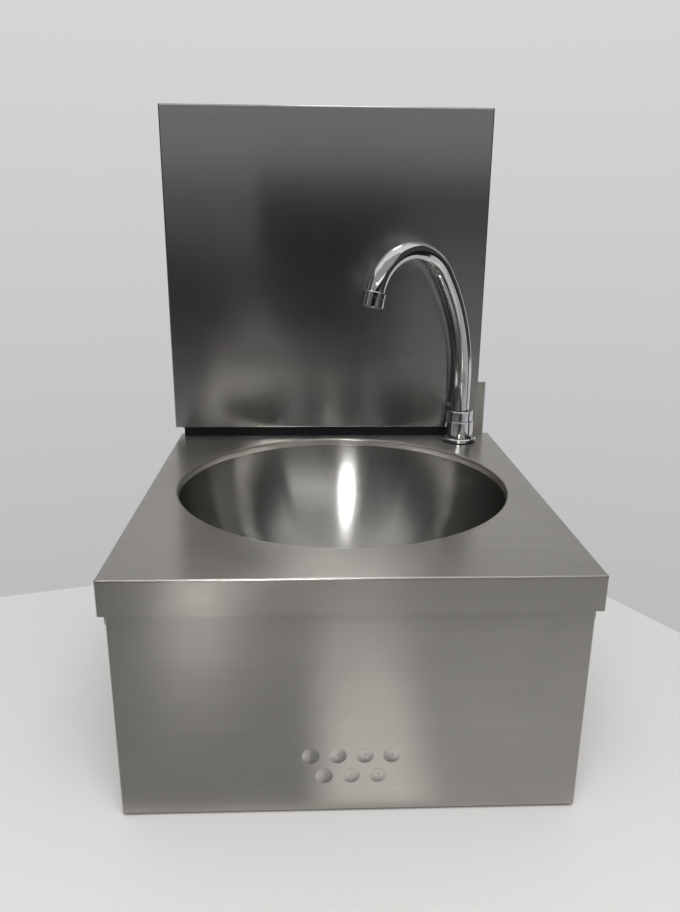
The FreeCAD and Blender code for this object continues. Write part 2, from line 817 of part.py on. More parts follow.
def swept(path, radius, start, direction):
    section = Part.Wire([Part.makeCircle(radius, start, direction)])
    solid = path.makePipeShell([section], True, False)
    return Part.Solid(Part.Shell(solid.Faces))


def spoutPlace(reach, height):
    turn = math.radians(spoutTurn)
    return Vector(tapX - reach * math.sin(turn), tapY - reach * math.cos(turn), deckTop + height)


def spoutCorners():
    """The places along the spout's centre line where its straight and round stretches meet."""
    lean = math.radians(leanAngle)
    crook = math.radians(crookAngle)
    leanReach = leanRadius * (1 - math.cos(lean))
    leanTop = stemTop + leanRadius * math.sin(lean)
    crookReach = leanReach + crookRadius * (math.cos(lean) - math.cos(crook))
    crookEnd = leanTop + crookRadius * (math.sin(crook) - math.sin(lean))
    middleLean = lean / 2
    middleCrook = (lean + crook) / 2
    leanMiddle = (leanRadius * (1 - math.cos(middleLean)), stemTop + leanRadius * math.sin(middleLean))
    crookMiddle = (
        leanReach + crookRadius * (math.cos(lean) - math.cos(middleCrook)),
        leanTop + crookRadius * (math.sin(middleCrook) - math.sin(lean)))
    end = (crookReach + spoutEnd * math.sin(crook), crookEnd + spoutEnd * math.cos(crook))
    return leanMiddle, (leanReach, leanTop), crookMiddle, (crookReach, crookEnd), end


def spoutTube(radius, bottom):
    leanMiddle, leanTop, crookMiddle, crookEnd, end = [spoutPlace(*place) for place in spoutCorners()]
    foot = spoutPlace(0, bottom)
    stem = spoutPlace(0, stemTop)
    edges = [
        Part.LineSegment(foot, stem).toShape(),
        Part.Arc(stem, leanMiddle, leanTop).toShape(),
        Part.Arc(leanTop, crookMiddle, crookEnd).toShape(),
        Part.LineSegment(crookEnd, end).toShape(),
    ]
    return swept(Part.Wire(edges), radius, foot, Vector(0, 0, 1))


def spoutOutlet():
    """The end of the spout's tube and the direction in which the water leaves."""
    crookEnd, end = [spoutPlace(*place) for place in spoutCorners()[3:]]
    return end, end.sub(crookEnd).normalize()


def makeSpout():
    collarLow = tapNeckTop + restGap
    collarTop = collarLow + spoutCollarThickness
    spigot = [(0, spigotBottom), (spigotRadius, spigotBottom)]
    for height in sealHeights:
        spigot.append((spigotRadius, height))
        spigot.append((spigotRadius - sealDepth, height))
        spigot.append((spigotRadius - sealDepth, height + sealWidth))
        spigot.append((spigotRadius, height + sealWidth))
    spigot.append((spigotRadius, collarLow))
    spigot.append((spoutCollarRadius, collarLow))
    spigot.append((spoutCollarRadius, collarTop))
    spigot.append((0, collarTop))
    foot = turned([(radius, deckTop + height) for radius, height in spigot], tapX, tapY)
    spout = foot.fuse(spoutTube(spoutRadius, collarTop))
    bore = spoutTube(spoutRadius - spoutWall, collarTop)
    waterway = rod(waterwayRadius, spoutPlace(0, spigotBottom - 1), spoutPlace(0, collarTop + 1))
    return spout.cut(bore).cut(waterway).removeSplitter()


def makeSpoutSeals():
    rings = []
    for height in sealHeights:
        low = spoutPlace(0, height + threadFit)
        high = spoutPlace(0, height + sealWidth - threadFit)
        rings.append(tube(spigotRadius, spigotRadius - sealDepth + threadFit, low, high))
    return Part.makeCompound(rings)


def makeAeratorHousing():
    bore = spoutRadius + threadFit
    groove = aeratorRadius - aeratorGrooveDepth
    ring = turned([
        (bore, -spoutEnd),
        (aeratorRadius - aeratorChamfer, -spoutEnd),
        (aeratorRadius, aeratorChamfer - spoutEnd),
        (aeratorRadius, aeratorGrooveLow),
        (groove, aeratorGrooveLow + aeratorGrooveDepth),
        (groove, aeratorGrooveHigh - aeratorGrooveDepth),
        (aeratorRadius, aeratorGrooveHigh),
        (aeratorRadius, aeratorBeyond - aeratorChamfer),
        (aeratorRadius - aeratorChamfer, aeratorBeyond),
        (aeratorOutletRadius, aeratorBeyond),
        (aeratorOutletRadius, aeratorBeyond - aeratorLip),
        (bore, aeratorBeyond - aeratorLip),
    ])
    end, way = spoutOutlet()
    return placed(ring, end, way)


def makeAeratorInsert():
    """The plastic jet shaper inside the aerator, with a ring of holes."""
    bottom = aeratorBeyond - aeratorLip
    depth = aeratorBeyond - aeratorInsetFace
    insert = turned([
        (0, 0),
        (spoutRadius, 0),
        (spoutRadius, bottom),
        (aeratorOutletRadius - threadFit, bottom),
        (aeratorOutletRadius - threadFit, depth),
        (0, depth),
    ])
    for k in range(aeratorHoles):
        turn = 2 * math.pi * k / aeratorHoles
        x = aeratorRingRadius * math.cos(turn)
        y = aeratorRingRadius * math.sin(turn)
        insert = insert.cut(rod(aeratorHoleRadius, Vector(x, y, -1), Vector(x, y, depth + 1)))
    insert = insert.cut(rod(aeratorHoleRadius, Vector(0, 0, -1), Vector(0, 0, depth + 1)))
    end, way = spoutOutlet()
    return placed(insert, end, way)


def makeTapBase():
    """The chromed pillar: a flange on the deck, a plain body and the neck for the gland nut."""
    flangeTop = tapGasketThickness + tapFlangeHeight
    socketTop = tapGasketThickness + shankEngagement
    socket = portRadius + threadFit
    return turned([(radius, deckTop + height) for radius, height in [
        (socket, tapGasketThickness),
        (tapFlangeRadius, tapGasketThickness),
        (tapFlangeRadius, flangeTop - tapChamfer),
        (tapFlangeRadius - tapChamfer, flangeTop),
        (tapBodyRadius, flangeTop),
        (tapBodyRadius, tapBodyTop - tapChamfer / 2),
        (tapBodyRadius - tapChamfer / 2, tapBodyTop),
        (tapNeckRadius, tapBodyTop),
        (tapNeckRadius, tapNeckTop),
        (spigotRadius + runningFit, tapNeckTop),
        (spigotRadius + runningFit, spigotBottom - 1),
        (waterwayRadius, spigotBottom - 1),
        (waterwayRadius, socketTop),
        (socket, socketTop),
    ]], tapX, tapY)


def makeGland():
    """The gland nut, whose lip holds the spout's collar down on the neck."""
    low = tapBodyTop + restGap
    lip = tapNeckTop + spoutCollarThickness + 2 * restGap
    inside = tapNeckRadius + threadFit
    return turned([(radius, deckTop + height) for radius, height in [
        (inside, low),
        (glandRadius - glandChamfer / 2, low),
        (glandRadius, low + glandChamfer / 2),
        (glandRadius, glandTop - glandChamfer),
        (glandRadius - glandChamfer, glandTop),
        (spoutRadius + restGap, glandTop),
        (spoutRadius + restGap, lip),
        (inside, lip),
    ]], tapX, tapY)


def makeTapGasket():
    return tube(tapGasketRadius, tapHoleRadius, Vector(tapX, tapY, deckTop), Vector(tapX, tapY, tapBottom))


def makeShank():
    low = Vector(tapX, tapY, deckTop - shankBelowDeck)
    high = Vector(tapX, tapY, tapBottom + shankEngagement - threadFit)
    return tube(portRadius, waterwayRadius, low, high)


def makeTapWasher():
    high = Vector(tapX, tapY, deckUnder)
    return tube(tapWasherRadius, tapHoleRadius, high - Vector(0, 0, tapWasherThickness), high)


def makeBacknut():
    high = Vector(tapX, tapY, deckUnder - tapWasherThickness)
    return hexNut(backnutFlats, portRadius + threadFit, high - Vector(0, 0, backnutThickness), high)


nodes = {
    "deck": makeDeck,
    "bowl": makeBowl,
    "housing": makeHousing,
    "valve_rail": makeRail,
    "waste_flange": makeWasteFlange,
    "waste_gaskets": makeWasteGaskets,
    "waste_body": makeWasteBody,
    "waste_screw": makeWasteScrew,
    "splashback": makeSplashback,
    "splashback_hook": makeHook,
    "seal_strip": makeSeal,
    "knee_panel": makeKneePanel,
    "panel_stiffener": makeStiffener,
    "pad_bolt": makePadBolt,
    "pad_nuts": makePadNuts,
    "pivot_bolts": makePivotBolts,
    "pivot_nuts": makePivotNuts,
    "pivot_bushes": makeBushes,
    "buffers": makeBuffers,
    "valve_body": makeValveBody,
    "valve_plunger": makePlunger,
    "valve_nut": makeNeckNut,
    "valve_cap": makeValveCap,
    "inlet_elbow": makeElbow,
    "supply_hose": makeHose,
    "hose_nuts": makeHoseNuts,
    "hose_ferrules": makeFerrules,
    "tap_gasket": makeTapGasket,
    "tap_base": makeTapBase,
    "tap_shank": makeShank,
    "tap_washer": makeTapWasher,
    "tap_backnut": makeBacknut,
    "gland_nut": makeGland,
    "spout": makeSpout,
    "spout_seals": makeSpoutSeals,
    "aerator_housing": makeAeratorHousing,
    "aerator_insert": makeAeratorInsert,
}

os.makedirs("parts", exist_ok=True)
for name, make in nodes.items():
    shape = make()
    summary = (name, len(shape.Solids), shape.Volume / 1000, shape.isValid())
    print("%-16s solids %d, volume %.1f cm3, valid %s" % summary)
    shape.exportStep("parts/" + name + ".step")
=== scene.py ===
import json
import math

import bmesh
import bpy
from mathutils import Matrix, Vector


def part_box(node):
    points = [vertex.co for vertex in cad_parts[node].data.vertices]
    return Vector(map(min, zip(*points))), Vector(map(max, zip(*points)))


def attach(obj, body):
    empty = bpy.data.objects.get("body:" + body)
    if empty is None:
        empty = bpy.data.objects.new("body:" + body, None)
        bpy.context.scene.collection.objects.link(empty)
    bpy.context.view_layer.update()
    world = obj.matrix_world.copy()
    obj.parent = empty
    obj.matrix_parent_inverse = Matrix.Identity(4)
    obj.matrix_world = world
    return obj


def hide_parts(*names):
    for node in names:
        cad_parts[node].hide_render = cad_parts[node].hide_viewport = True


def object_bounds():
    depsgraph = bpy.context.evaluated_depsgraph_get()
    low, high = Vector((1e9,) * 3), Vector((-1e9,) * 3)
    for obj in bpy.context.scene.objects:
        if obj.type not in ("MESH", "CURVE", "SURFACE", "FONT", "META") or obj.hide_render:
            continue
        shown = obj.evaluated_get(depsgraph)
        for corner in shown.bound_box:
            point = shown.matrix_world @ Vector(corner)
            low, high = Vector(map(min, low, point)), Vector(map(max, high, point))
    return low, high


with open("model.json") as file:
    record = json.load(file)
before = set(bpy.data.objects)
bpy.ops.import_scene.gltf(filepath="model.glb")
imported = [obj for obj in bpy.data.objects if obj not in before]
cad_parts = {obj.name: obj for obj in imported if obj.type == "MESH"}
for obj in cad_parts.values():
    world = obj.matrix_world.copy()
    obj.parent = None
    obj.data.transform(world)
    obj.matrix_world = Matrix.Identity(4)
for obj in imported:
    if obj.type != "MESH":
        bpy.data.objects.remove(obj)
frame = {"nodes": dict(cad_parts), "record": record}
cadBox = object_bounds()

# The looks of a wall-hung stainless steel wash basin.
# Everything is in metres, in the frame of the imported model.
nodes = frame["nodes"]
slots = {subpart["node"]: subpart["material_slot"] for subpart in frame["record"]["subparts"]}
print("frame loaded:", len(nodes), "nodes")


def axisOf(node):
    # where a round, upright node has its axis: in the middle of its box
    low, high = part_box(node)
    return (low[0] + high[0]) / 2, (low[1] + high[1]) / 2


bowlAxis = axisOf("bowl")
tapAxis = axisOf("tap_shank")

cameraView = {
    "place": (-0.03416, -0.96192, 0.38678),
    "lens": 30.081,
    "sensor": 36.0,
    "nearest": 0.01,
    "yaw": 2.357,  # degrees to the right
    "pitch": 16.978,  # degrees down
    "roll": -0.483,
}


def makeCamera(view):
    yaw, pitch, roll = (math.radians(view[key]) for key in ("yaw", "pitch", "roll"))
    forward = Vector((math.sin(yaw) * math.cos(pitch), math.cos(yaw) * math.cos(pitch), -math.sin(pitch)))
    level = Vector((math.cos(yaw), -math.sin(yaw), 0))
    down = forward.cross(level)
    right = level * math.cos(roll) + down * math.sin(roll)
    up = level * math.sin(roll) - down * math.cos(roll)
    data = bpy.data.cameras.new("camera")
    data.lens = view["lens"]
    data.sensor_width = view["sensor"]
    data.clip_start = view["nearest"]
    camera = bpy.data.objects.new("camera", data)
    bpy.context.scene.collection.objects.link(camera)
    turn = Matrix((right, up, -forward)).transposed().to_4x4()
    camera.matrix_world = Matrix.Translation(view["place"]) @ turn
    bpy.context.scene.camera = camera


makeCamera(cameraView)
print("camera placed")


def addNode(tree, kind, **settings):
    node = tree.nodes.new(kind)
    for key, value in settings.items():
        setattr(node, key, value)
    return node


def fill(tree, socket, value):
    # another node's output comes in by a link, anything else is the socket's own value
    if isinstance(value, bpy.types.NodeSocket):
        tree.links.new(value, socket)
    else:
        socket.default_value = value


def fillInputs(tree, node, **values):
    # by the inputs' names, with a _ for each space
    for key, value in values.items():
        fill(tree, node.inputs[key.replace("_", " ")], value)


def fillFirst(tree, node, *values):
    # the first inputs, in their order
    for socket, value in zip(node.inputs, values):
        fill(tree, socket, value)


def mathNode(tree, operation, first, second=0.0, clamp=False):
    node = addNode(tree, "ShaderNodeMath", operation=operation, use_clamp=clamp)
    fillFirst(tree, node, first, second)
    return node.outputs[0]


def vectorNode(tree, operation, first, second=(0, 0, 0)):
    node = addNode(tree, "ShaderNodeVectorMath", operation=operation)
    fillFirst(tree, node, first, second)
    return node.outputs["Value" if operation == "LENGTH" else "Vector"]


def combine(tree, x, y, z):
    node = addNode(tree, "ShaderNodeCombineXYZ")
    fillFirst(tree, node, x, y, z)
    return node.outputs[0]


def separate(tree, vector):
    node = addNode(tree, "ShaderNodeSeparateXYZ")
    fillFirst(tree, node, vector)
    return node.outputs


def mapRange(tree, value, low, high, toLow=0.0, toHigh=1.0):
    node = addNode(tree, "ShaderNodeMapRange")
    fillInputs(tree, node, Value=value, From_Min=low, From_Max=high, To_Min=toLow, To_Max=toHigh)
    return node.outputs["Result"]


mixSockets = {"VECTOR": (4, 5, 1), "RGBA": (6, 7, 2)}  # of a Mix node: its first and second input, its output


def mix(tree, kind, share, first, second):
    node = addNode(tree, "ShaderNodeMix", data_type=kind)
    firstInput, secondInput, output = mixSockets[kind]
    fillFirst(tree, node, share)
    fill(tree, node.inputs[firstInput], first)
    fill(tree, node.inputs[secondInput], second)
    return node.outputs[output]


def mixShaders(tree, share, first, second):
    node = addNode(tree, "ShaderNodeMixShader")
    fillFirst(tree, node, share, first, second)
    return node.outputs[0]


def noise(tree, vector, scale, detail=2.0, roughness=0.5, distortion=0.0):
    node = addNode(tree, "ShaderNodeTexNoise")
    fillInputs(tree, node, Vector=vector, Scale=scale, Detail=detail, Roughness=roughness,
               Distortion=distortion)
    return node.outputs["Fac"]


def newGroup(name, numbers, results):
    # a group that takes a vector and some numbers, and puts out values
    group = bpy.data.node_groups.new(name, "ShaderNodeTree")
    group.interface.new_socket("Vector", in_out="INPUT", socket_type="NodeSocketVector")
    for title, value in numbers.items():
        socket = group.interface.new_socket(title, in_out="INPUT", socket_type="NodeSocketFloat")
        socket.default_value = value
    for title in results:
        group.interface.new_socket(title, in_out="OUTPUT", socket_type="NodeSocketFloat")
    return group, group.nodes.new("NodeGroupInput").outputs, group.nodes.new("NodeGroupOutput")


def useGroup(tree, group, **values):
    node = addNode(tree, "ShaderNodeGroup", node_tree=group)
    fillInputs(tree, node, **values)
    return node.outputs


brushingLook = {
    "fineDetail": 3.0,
    "fineRoughness": 0.6,
    "broadStretch": (0.25, 0.12, 0.12),  # the broad lines are the fine ones at this scale
}


def makeBrushing(look):
    # fine and broad brushing lines, drawn out along the X axis of the vector that comes in
    group, given, result = newGroup("brushing", {"Along": 6.0, "Across": 1400.0}, ("Fine", "Broad"))
    stretch = combine(group, given["Along"], given["Across"], given["Across"])
    drawn = vectorNode(group, "MULTIPLY", given["Vector"], stretch)
    fine = noise(group, drawn, 1.0, look["fineDetail"], look["fineRoughness"])
    broad = noise(group, vectorNode(group, "MULTIPLY", drawn, look["broadStretch"]), 1.0)
    fillInputs(group, result, Fine=fine, Broad=broad)
    return group


sheetWavesLook = {"detail": 1.0, "roughness": 0.4}


def makeSheetWaves(look):
    # the slight waves of a folded sheet, as a height
    group, given, result = newGroup("sheetWaves", {"Scale": 5.0}, ("Height",))
    waves = noise(group, given["Vector"], given["Scale"], look["detail"], look["roughness"])
    fillInputs(group, result, Height=waves)
    return group


wipeMarksLook = {"detail": 5.0, "roughness": 0.62, "distortion": 0.6, "faintest": 0.40, "strongest": 0.68}


def makeWipeMarks(look):
    # cloudy marks of wiping hands and cloths
    group, given, result = newGroup("wipeMarks", {"Scale": 9.0}, ("Wipe",))
    cloud = noise(group, given["Vector"], given["Scale"], look["detail"], look["roughness"],
                  look["distortion"])
    fillInputs(group, result, Wipe=mapRange(group, cloud, look["faintest"], look["strongest"]))
    return group


brushing = makeBrushing(brushingLook)
sheetWaves = makeSheetWaves(sheetWavesLook)
wipeMarks = makeWipeMarks(wipeMarksLook)


def emptyTree(owner):
    # the node tree of a material or a world, with nothing in it yet
    owner.use_nodes = True
    owner.node_tree.nodes.clear()
    return owner.node_tree


def newMaterial(name):
    material = bpy.data.materials.new(name)
    tree = emptyTree(material)
    shader = addNode(tree, "ShaderNodeBsdfPrincipled")
    fillFirst(tree, addNode(tree, "ShaderNodeOutputMaterial"), shader.outputs[0])
    place = addNode(tree, "ShaderNodeTexCoord").outputs["Object"]
    return material, tree, shader, place


def addBump(tree, shader, height, distance):
    bump = addNode(tree, "ShaderNodeBump")
    fillInputs(tree, bump, Strength=1.0, Distance=distance, Height=height)
    fillInputs(tree, shader, Normal=bump.outputs[0])


fineRange = (0.3, 0.7)  # between these lies nearly all of the fine lines' noise


def brushSteel(tree, shader, place, pattern, tangent, look):
    # lines in the colour and the gloss, wiped here and there, with highlights that stretch across the lines
    lines = useGroup(tree, brushing, Vector=pattern, Along=look["along"], Across=look["across"])
    marks = useGroup(tree, wipeMarks, Vector=place, Scale=look["wipeScale"])
    colour = mix(tree, "RGBA", lines["Broad"], look["darkLine"], look["colour"])
    half = look["roughnessChange"] / 2
    rough = mapRange(tree, lines["Fine"], *fineRange, look["roughness"] - half, look["roughness"] + half)
    wiped = mathNode(tree, "MULTIPLY", marks["Wipe"], look["wipe"])
    fillInputs(tree, shader, Base_Color=colour, Metallic=1.0, Roughness=mathNode(tree, "ADD", rough, wiped),
               Anisotropic=look["anisotropy"], Tangent=tangent)


satinSteelLook = {
    "colour": (0.468, 0.45, 0.415, 1),
    "darkLine": (0.418, 0.40, 0.366, 1),
    "roughness": 0.30,
    "roughnessChange": 0.07,
    "anisotropy": 0.82,
    "along": 7.0,
    "across": 1500.0,
    "wave": 0.0005,
    "waveScale": 5.0,
    "wipe": 0.06,
    "wipeScale": 9.0,
    "sideSlant": 0.7,  # a face that looks this far to the side belongs to a side wall
}

fineSatinLook = dict(satinSteelLook, colour=(0.455, 0.45, 0.445, 1), darkLine=(0.405, 0.40, 0.395, 1),
                     roughness=0.19, anisotropy=0.80, roughnessChange=0.02, wave=0.00015, wipe=0.012)
fineSatinNodes = ("splashback", "splashback_hook")


def sheetGrain(tree, place, sideSlant):
    # the grain runs along X, and down the side walls, where the sheet is folded; X of the pattern is along it
    normal = addNode(tree, "ShaderNodeNewGeometry").outputs["True Normal"]
    side = mathNode(tree, "GREATER_THAN", mathNode(tree, "ABSOLUTE", separate(tree, normal)[0]), sideSlant)
    x, y, z = separate(tree, place)
    pattern = mix(tree, "VECTOR", side, place, combine(tree, z, y, x))
    way = combine(tree, mathNode(tree, "SUBTRACT", 1.0, side), 0.0, side)
    return pattern, vectorNode(tree, "CROSS_PRODUCT", normal, way)


def makeSheetSteel(name, look):
    material, tree, shader, place = newMaterial(name)
    pattern, tangent = sheetGrain(tree, place, look["sideSlant"])
    brushSteel(tree, shader, place, pattern, tangent, look)
    waves = useGroup(tree, sheetWaves, Vector=place, Scale=look["waveScale"])
    addBump(tree, shader, waves["Height"], look["wave"])
    return material


spunSteelLook = {
    "colour": (0.46, 0.45, 0.43, 1),
    "darkLine": (0.40, 0.39, 0.37, 1),
    "roughness": 0.24,
    "roughnessChange": 0.03,
    "anisotropy": 0.87,
    "along": 0.6,
    "across": 1400.0,
    "wipe": 0.02,
    "wipeScale": 11.0,
    "centre": (*bowlAxis, 0),
}


def spunGrain(tree, place, centre):
    # the grain runs round the bowl's upright axis; the pattern's X is the angle, then radius and height
    x, y, z = separate(tree, vectorNode(tree, "SUBTRACT", place, centre))
    outwards = combine(tree, x, y, 0.0)
    angle = mathNode(tree, "ARCTAN2", x, mathNode(tree, "MULTIPLY", y, -1.0))
    pattern = combine(tree, angle, vectorNode(tree, "LENGTH", outwards), z)
    normal = addNode(tree, "ShaderNodeNewGeometry").outputs["Normal"]
    around = vectorNode(tree, "CROSS_PRODUCT", outwards, (0, 0, 1))
    return pattern, vectorNode(tree, "CROSS_PRODUCT", normal, around)


def makeSpunSteel(name, look):
    material, tree, shader, place = newMaterial(name)
    pattern, tangent = spunGrain(tree, place, look["centre"])
    brushSteel(tree, shader, place, pattern, tangent, look)
    return material


plainLooks = {
    "polished_steel": {"colour": (0.60, 0.59, 0.57, 1), "metal": 1.0, "rough": 0.14, "change": 0.08,
                       "grain": 60.0, "depth": 0.00002},
    "chrome": {"colour": (0.78, 0.79, 0.81, 1), "metal": 1.0, "rough": 0.045, "change": 0.05,
               "grain": 24.0, "depth": 0.00001},
    "braid": {"colour": (0.60, 0.59, 0.57, 1), "metal": 1.0, "rough": 0.24, "change": 0.14,
              "grain": 1500.0, "depth": 0.00003},
    "zinc_steel": {"colour": (0.58, 0.59, 0.60, 1), "metal": 1.0, "rough": 0.30, "change": 0.16,
                   "grain": 700.0, "depth": 0.00002},
    "brass": {"colour": (0.70, 0.52, 0.25, 1), "metal": 1.0, "rough": 0.28, "change": 0.18,
              "grain": 500.0, "depth": 0.00003},
    "black_rubber": {"colour": (0.008, 0.008, 0.009, 1), "metal": 0.0, "rough": 0.66, "change": 0.18,
                     "grain": 900.0, "depth": 0.00005, "specular": 0.12},
    "white_plastic": {"colour": (0.80, 0.80, 0.78, 1), "metal": 0.0, "rough": 0.38, "change": 0.12,
                      "grain": 300.0, "depth": 0.00002},
}
plainWear = {"wipeScale": 30.0, "dullShare": 0.86, "grainDetail": 3.0, "specular": 0.5}


def makePlain(name, look):
    # a plain finish that is duller and rougher where it was wiped, with a grain too fine to see one by one
    material, tree, shader, place = newMaterial(name)
    wipe = useGroup(tree, wipeMarks, Vector=place, Scale=plainWear["wipeScale"])["Wipe"]
    dull = tuple(channel * plainWear["dullShare"] for channel in look["colour"][:3]) + (1,)
    changed = mathNode(tree, "MULTIPLY", wipe, look["change"])
    fillInputs(tree, shader, Base_Color=mix(tree, "RGBA", wipe, look["colour"], dull), Metallic=look["metal"],
               Roughness=mathNode(tree, "ADD", changed, look["rough"]),
               Specular_IOR_Level=look.get("specular", plainWear["specular"]))
    addBump(tree, shader, noise(tree, place, look["grain"], plainWear["grainDetail"]), look["depth"])
    return material


finishes = {
    "satin_steel": makeSheetSteel("satin steel", satinSteelLook),
    "fineSatin": makeSheetSteel("fine satin steel", fineSatinLook),
    "spun_steel": makeSpunSteel("spun steel", spunSteelLook),
}
for slotName, look in plainLooks.items():
    finishes[slotName] = makePlain(slotName.replace("_", " "), look)

for name, slotName in slots.items():
    materials = nodes[name].data.materials
    materials.clear()
    materials.append(finishes["fineSatin" if name in fineSatinNodes else slotName])
print("finishes given to", len(nodes), "nodes")


mergeDistance = 1e-6  # points this close are one


def addMesh(name, work):
    mesh = bpy.data.meshes.new(name)
    work.to_mesh(mesh)
    work.free()
    obj = bpy.data.objects.new(name, mesh)
    bpy.context.scene.collection.objects.link(obj)
    return obj


def dress(obj, slotName, body):
    obj.data.materials.append(finishes[slotName])
    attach(obj, body)


def closeHoles(work):
    bmesh.ops.holes_fill(work, edges=[edge for edge in work.edges if edge.is_boundary], sides=0)


def newVerts(things):
    return [thing for thing in things if isinstance(thing, bmesh.types.BMVert)]


def turnMatrix(place, ahead):
    # puts a shape that was made round the Z axis at a place, with its Z axis ahead
    return Matrix.Translation(place) @ Vector(ahead).to_track_quat("Z", "Y").to_matrix().to_4x4()


supplyHose = {
    "corners": ((0.048, -0.347, -0.010), (0.156, -0.347, -0.010), (0.156, -0.190, -0.034),
                (0.154, -0.039, -0.050), (0.154, -0.039, 0.071)),
    "resolution": 32,
    "length": 0.467,
    "diameter": 0.0125,
    "coreRadius": 0.0057,
    "strands": 12,  # in each direction
    "strandWidth": 0.0021,
    "strandLift": 0.00022,
    "pitch": 0.034,
    "step": 0.0012,
    "sides": 24,
}
strandCorners = ((-1, 0), (0, 1), (1, 0), (-1, 0))  # across the strand and up from its foot, and back


def lineOfCurve(name, look):
    # the points of a smooth curve that the corners pull into shape
    curve = bpy.data.curves.new(name, "CURVE")
    curve.dimensions = "3D"
    spline = curve.splines.new("NURBS")
    spline.points.add(len(look["corners"]) - 1)
    for point, corner in zip(spline.points, look["corners"]):
        point.co = (*corner, 1)
    spline.order_u = 3
    spline.use_endpoint_u = True
    spline.resolution_u = look["resolution"]
    guide = bpy.data.objects.new(name, curve)
    bpy.context.scene.collection.objects.link(guide)
    bpy.context.view_layer.update()
    mesh = bpy.data.meshes.new_from_object(guide)
    line = [vertex.co.copy() for vertex in mesh.vertices]
    bpy.data.objects.remove(guide)
    bpy.data.curves.remove(curve)
    bpy.data.meshes.remove(mesh)
    return line


def evenFrames(line, step):
    # places at even steps along a line, each with two directions across it that don't twist
    lengths = [0.0]
    for before, after in zip(line, line[1:]):
        lengths.append(lengths[-1] + (after - before).length)
    count = round(lengths[-1] / step)
    frames = []
    across = (line[1] - line[0]).orthogonal()
    spot = 0
    for index in range(count + 1):
        reach = lengths[-1] * index / count
        while spot < len(line) - 2 and lengths[spot + 1] < reach:
            spot += 1
        run = line[spot + 1] - line[spot]
        place = line[spot] + run * ((reach - lengths[spot]) / run.length)
        ahead = run.normalized()
        across = (across - ahead * across.dot(ahead)).normalized()
        frames.append((place, across, ahead.cross(across), reach))
    return frames


def wrapGrid(work, frames, sides, shape):
    # a grid wrapped round the line: shape gives the turn and radius for a reach and a side of the grid
    last = len(frames) - 1
    verts = bmesh.ops.create_grid(work, x_segments=last, y_segments=sides, size=1)["verts"]
    for vert in verts:
        place, across, upright, reach = frames[round((vert.co.x + 1) / 2 * last)]
        turn, radius = shape(reach, (vert.co.y + 1) / 2 * sides)
        vert.co = place + across * (radius * math.cos(turn)) + upright * (radius * math.sin(turn))
    bmesh.ops.remove_doubles(work, verts=verts, dist=mergeDistance)


def makeStrand(work, frames, look, way, strand):
    # one strand of wire that winds round the core, over and under those that it crosses
    outside = look["diameter"] / 2
    drop = outside - look["strandLift"] - look["coreRadius"]

    def shape(reach, side):
        turn = math.tau * strand / look["strands"] + way * math.tau * reach / look["pitch"]
        crossings = look["strands"] * 2 * reach / look["pitch"] + strand
        lift = look["strandLift"] * (1 + way * math.cos(math.pi * crossings)) / 2
        across, up = strandCorners[round(side)]
        return turn + across * look["strandWidth"] / outside / 2, look["coreRadius"] + drop * up + lift

    wrapGrid(work, frames, len(strandCorners) - 1, shape)


def makeHose(look):
    frames = evenFrames(lineOfCurve("hoseLine", look), look["step"])
    sides, coreRadius = look["sides"], look["coreRadius"]
    work = bmesh.new()
    wrapGrid(work, frames, sides, lambda reach, side: (math.tau * side / sides, coreRadius))
    closeHoles(work)
    coreFaces = len(work.faces)
    for way in (1, -1):
        for strand in range(look["strands"]):
            makeStrand(work, frames, look, way, strand)
    closeHoles(work)
    bmesh.ops.recalc_face_normals(work, faces=work.faces)
    for index, face in enumerate(work.faces):
        face.smooth = True
        face.material_index = 0 if index < coreFaces else 1
    hose = addMesh("hose_braid", work)
    hose.data.materials.append(finishes["black_rubber"])
    hose.data.materials.append(finishes["braid"])
    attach(hose, "basin")
    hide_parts("supply_hose")
    print("hose:", len(frames), "steps,", len(hose.data.polygons), "faces, length", round(frames[-1][3], 4))


makeHose(supplyHose)

# each thread starts at a height above the lowest point of the piece that it is on
threads = {
    "waste_thread": {"on": "waste_body", "axis": bowlAxis, "start": 0.001, "radius": 0.02095,
                     "length": 0.034, "pitch": 0.002309, "height": 0.00034},
    "shank_thread": {"on": "tap_shank", "axis": tapAxis, "start": 0.011, "radius": 0.01048,
                     "length": 0.0272, "pitch": 0.001814, "height": 0.00032},
    "elbow_thread": {"on": "inlet_elbow", "axis": (-0.058, -0.347), "start": 0.0008, "radius": 0.01048,
                     "length": 0.017, "pitch": 0.001814, "height": 0.00032},
}
threadForm = {
    "steps": 40,  # to a turn
    "sunk": 0.0001,  # how deep the ridge's foot is in the piece
    "foot": 0.42,  # half of the foot and of the crest, as shares of the pitch
    "crest": 0.06,
    "runOut": 0.5,  # turns in which each end thins away
    "least": 0.05,  # turns at the very end that thin no further
}


